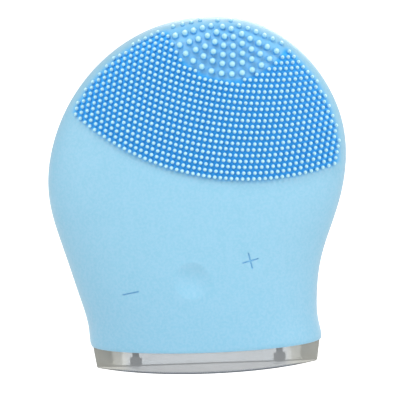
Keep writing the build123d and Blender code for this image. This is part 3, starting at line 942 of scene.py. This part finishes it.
def clear_acrylic():
    """The clear foot: polished, painted lighter and warmer towards its ends as painted light, with a painted
    dark line of shade along its bottom front edge, and hair-fine wear.
    """
    finish = Finish("clear_acrylic", Transmission_Weight=0.69, IOR=1.47)
    aside = finish.axis("X").math("ABSOLUTE", finish.axis("X"))
    # Painted light: the ends are lighter and warmer.
    painted_end_light = finish.between(aside, 0.0200, 0.0235)
    veil = finish.mix(finish.cloud(4 * MM), shade(219, 223, 226), shade(230, 233, 235))
    body = finish.mix(painted_end_light, veil, shade(246, 246, 236))
    # Painted shade: a dark line along the bottom edge, on the front side only.
    bottom_edge_shade = 1.0 - finish.between(finish.axis("Z"), 0.0003, 0.0008)
    front = 1.0 - finish.between(finish.axis("Y"), -0.008, -0.005)
    finish.colour(finish.mix(bottom_edge_shade * front * 0.8, body, shade(112, 128, 146)))
    finish.rough(0.02 + 0.03 * finish.cloud(1.2 * MM))
    finish.bump(finish.cloud(0.6 * MM, place=finish.stretched(0.08, 1, 1)), 0.12, 0.01 * MM)
    return finish.material


def metal(name, dark, light, rough, grain, along):
    """Bare metal with fine drawn lines."""
    finish = Finish(name, Metallic=1.0)
    lines = finish.cloud(grain, 4.0, finish.stretched(*along))
    finish.colour(finish.mix(lines, dark, light))
    finish.rough(rough + 0.15 * (lines - 0.5))
    finish.bump(lines, 0.25, 0.02 * MM)
    return finish.material


def laminate():
    """Circuit board: green lacquer over a woven base, with copper tracks just showing."""
    finish = Finish("green_board", Coat_Weight=0.4, Coat_Roughness=0.2)
    weave = finish.node("ShaderNodeTexWave", {"wave_type": "BANDS", "bands_direction": "X"},
                        {"Vector": finish.place, "Scale": 900.0, "Distortion": 0.6}, 1)
    tracks = finish.node("ShaderNodeTexBrick", {"offset": 0.5},
                         {"Vector": finish.place, "Scale": 160.0, "Mortar Size": 0.05, "Brick Width": 1.7}, 1)
    base = finish.mix(weave, shade(18, 84, 46), shade(24, 98, 54))
    finish.colour(finish.mix(tracks * 0.6, base, shade(58, 132, 72)))
    finish.rough(0.32 + 0.15 * finish.cloud(1.5 * MM))
    finish.bump(tracks, 0.4, 0.04 * MM)
    return finish.material


def foil():
    """Battery wrap: silver foil with soft creases, with painted shade in their hollows and painted light on
    their ridges.
    """
    finish = Finish("cell_foil", Metallic=0.85)
    creases_and_shade = finish.cloud(5 * MM, 5.0)
    # Painted shade and light: the colour follows the creases' height, darker in the hollows.
    finish.colour(finish.mix(creases_and_shade, shade(176, 180, 186), shade(206, 210, 214)))
    finish.rough(0.28 + 0.25 * finish.cloud(2 * MM))
    finish.bump(creases_and_shade, 0.5, 0.25 * MM)
    return finish.material


def windings():
    """Rotor: copper wire wound in close turns, with painted shade in the grooves between them."""
    finish = Finish("copper_windings", Metallic=0.9)
    turns = finish.node("ShaderNodeTexWave", {"wave_type": "BANDS", "bands_direction": "Z"},
                        {"Vector": finish.place, "Scale": 500.0, "Distortion": 0.4}, 1)
    # Painted shade: the colour follows the turns' height, darker in the grooves between them.
    finish.colour(finish.mix(turns, shade(120, 62, 34), shade(206, 124, 76)))
    finish.rough(0.30 + 0.2 * turns)
    finish.bump(turns, 0.6, 0.1 * MM)
    return finish.material


def lens():
    """Indicator lens: milky, slightly warm."""
    finish = moulded("led_lens", shade(236, 236, 220), shade(250, 250, 240), 0.2 * MM, 0.25, 0.01 * MM)
    return finish.material


def drawn_steel(name, axis, bright=1.0):
    """Steel drawn along one axis; a low bright makes it darker."""
    along = [0.06 if letter == axis else 1.0 for letter in "XYZ"]
    dark, light = (shade(*[tone * bright for tone in tones]) for tones in ((168, 169, 168), (214, 216, 216)))
    return metal(name, dark, light, 0.26, 0.25 * MM, along)


def make_finishes():
    """Every finish by the slot name of the record."""
    plain = {
        "shell_plastic": (shade(214, 216, 218), shade(232, 233, 234), 0.35, 0.42),
        "seal_rubber": (shade(34, 36, 40), shade(52, 54, 60), 0.3, 0.62),
        "plunger_plastic": (shade(220, 222, 226), shade(240, 241, 243), 0.25, 0.4),
        "switch_plastic": (shade(22, 22, 24), shade(40, 40, 44), 0.2, 0.5),
        "chip_plastic": (shade(24, 25, 28), shade(44, 46, 50), 0.18, 0.58),
        "lead_red": (shade(168, 26, 26), shade(204, 44, 40), 0.25, 0.4),
        "lead_blue": (shade(28, 60, 160), shade(44, 84, 196), 0.25, 0.4),
    }
    finishes = {slot: moulded(slot, dark, light, grain * MM, rough, 0.03 * MM).material
                for slot, (dark, light, grain, rough) in plain.items()}
    finishes |= {
        "silicone": silicone(),
        "clear_plastic": clear_acrylic(),
        "screw_steel": drawn_steel("screw_steel", "X", 0.18),
        "switch_metal": drawn_steel("switch_metal", "Y"),
        "motor_steel": drawn_steel("motor_steel", "Z"),
        "board_laminate": laminate(),
        "led_lens": lens(),
        "cell_foil": foil(),
        "rotor_copper": windings(),
        "weight_brass": metal("weight_brass", shade(150, 118, 56), shade(206, 170, 92), 0.3, 0.3 * MM,
                              (1, 1, 0.1)),
    }
    return finishes


finishes = make_finishes()
# The tip colours are painted highlights.
fine_finish = bristle_silicone("fine_point_silicone", shade(190, 235, 238), shade(208, 243, 244))
thick_finish = bristle_silicone("thick_point_silicone", shade(180, 230, 236), shade(198, 238, 242))
point_tree = touch_point_tree()

fields = {
    "fine_touch_points": ("fine_bristle_field", fine_places(), FINE_SIZES, fine_finish),
    "coarse_touch_points": ("coarse_bristle_field", coarse_places(), COARSE_SIZES, thick_finish),
    "rear_touch_points": ("rear_bristle_field", rear_places(), REAR_SIZES, thick_finish),
}
for label, (node, places, sizes, finish) in fields.items():
    points = stand_points(label, places, sizes, finish)
    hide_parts(node)
    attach(points, "handle")

for piece in [skin, *button_pieces]:
    piece.data.materials.clear()
    piece.data.materials.append(finishes["silicone"])

for obj in nodes.values():
    slot = obj.data.materials[0].name.split(".")[0]
    obj.data.materials.clear()
    obj.data.materials.append(finishes[slot])


# ---------------------------------------------------------------- foot screws
def turned(name, centre, profile):
    """A turned solid on a vertical line, from (radius, height) pairs that start and end on its axis."""
    steps = TURNED_STEPS
    verts, faces, rings = [], [], []
    for radius, z in profile:
        if radius == 0:
            verts.append((*centre, z))
            rings.append([len(verts) - 1] * steps)
        else:
            rings.append(list(range(len(verts), len(verts) + steps)))
            verts += [(x, y, z) for x, y in circle(centre, radius, steps)]
    for low, high in zip(rings, rings[1:]):
        for i in range(steps):
            j = (i + 1) % steps
            faces.append(list(dict.fromkeys((low[i], low[j], high[j], high[i]))))
    return new_object(name, verts, [face for face in faces if len(face) > 2])


def foot_screw_profile(low, high):
    """A cheese head with a rounded rim and a hollow for the driver, and a threaded shank."""
    head, shank, root = FOOT_HEAD_RADIUS, FOOT_SHANK_RADIUS, FOOT_SHANK_RADIUS - THREAD_DEPTH
    top, rim, floor = low + FOOT_HEAD_HEIGHT, FOOT_HEAD_RIM, low + DRIVER_DEPTH
    profile = [(0, floor), (DRIVER_FLOOR_RADIUS, floor), (DRIVER_MOUTH_RADIUS, low), (head - rim, low),
               (head - 0.3 * rim, low + 0.3 * rim), (head, low + rim), (head, top - 0.5 * rim),
               (head - 0.5 * rim, top), (shank, top)]
    z = FOOT_PLAIN_SHANK
    profile.append((shank, z))
    while z + THREAD_PITCH < high:
        profile += [(root, z + THREAD_PITCH * 0.4), (root, z + THREAD_PITCH * 0.55),
                    (shank, z + THREAD_PITCH * 0.9)]
        z += THREAD_PITCH
    return [*profile, (root * 0.7, high), (0, high)]


def make_foot_screws():
    low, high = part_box("foot_screws")
    for side, x in (("left", low.x + CARRIED_HEAD_RADIUS), ("right", high.x - CARRIED_HEAD_RADIUS)):
        centre = (x, (low.y + high.y) / 2)
        screw = turned(f"foot_screw_{side}", centre, foot_screw_profile(low.z, high.z))
        face_outwards(screw)
        screw.data.set_sharp_from_angle(angle=SHARP_ANGLE)
        screw.data.materials.append(finishes["screw_steel"])
        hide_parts("foot_screws")
        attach(screw, "handle")


make_foot_screws()


# ---------------------------------------------------------------- studio
def make_camera():
    data = bpy.data.cameras.new("camera")
    data.lens, data.sensor_width = LENS, SENSOR
    data.clip_start, data.clip_end = 0.01, 10
    camera = bpy.data.objects.new("camera", data)
    back = Vector((0, -math.cos(VIEW_DOWN), math.sin(VIEW_DOWN)))
    camera.location = VIEW_CENTRE + back * (VIEW_WIDTH * LENS / SENSOR)
    camera.rotation_mode = "QUATERNION"
    camera.rotation_quaternion = Quaternion(back, VIEW_ROLL) @ (-back).to_track_quat("-Z", "Y")
    bpy.context.scene.collection.objects.link(camera)
    bpy.context.scene.camera = camera


def make_floor():
    """A floor that looks white but throws back less light than it shows."""
    corners = [(x * FLOOR_HALF, y * FLOOR_HALF, 0) for x, y in ((-1, -1), (1, -1), (1, 1), (-1, 1))]
    floor = new_object("floor", corners, [(0, 1, 2, 3)], smooth=False)
    finish = Finish("pale_floor", Base_Color=(0.55, 0.55, 0.55, 1), Roughness=0.9, Emission_Strength=0.9)
    seen = finish.node("ShaderNodeLightPath", {}, {})
    feed(finish.tree, finish.shader.inputs["Emission Color"], FLOOR_GLOW + (1 - FLOOR_GLOW) * seen)
    floor.data.materials.append(finish.material)


def make_light(name, place, width, power):
    data = bpy.data.lights.new(name, "AREA")
    data.shape, data.size, data.energy = "DISK", width, power
    light = bpy.data.objects.new(name, data)
    light.location = place
    light.rotation_mode = "QUATERNION"
    light.rotation_quaternion = (VIEW_CENTRE - Vector(place)).to_track_quat("-Z", "Y")
    bpy.context.scene.collection.objects.link(light)


def make_studio():
    world = bpy.data.worlds.new("studio")
    world.use_nodes = True
    background = world.node_tree.nodes["Background"].inputs
    background["Color"].default_value = (1, 1, 1, 1)
    background["Strength"].default_value = WORLD_STRENGTH
    bpy.context.scene.world = world
    for name, (place, width, power) in LIGHTS.items():
        make_light(name, place, width, power)
    bpy.context.scene.view_settings.view_transform = "Standard"


make_camera()
make_floor()
make_studio()
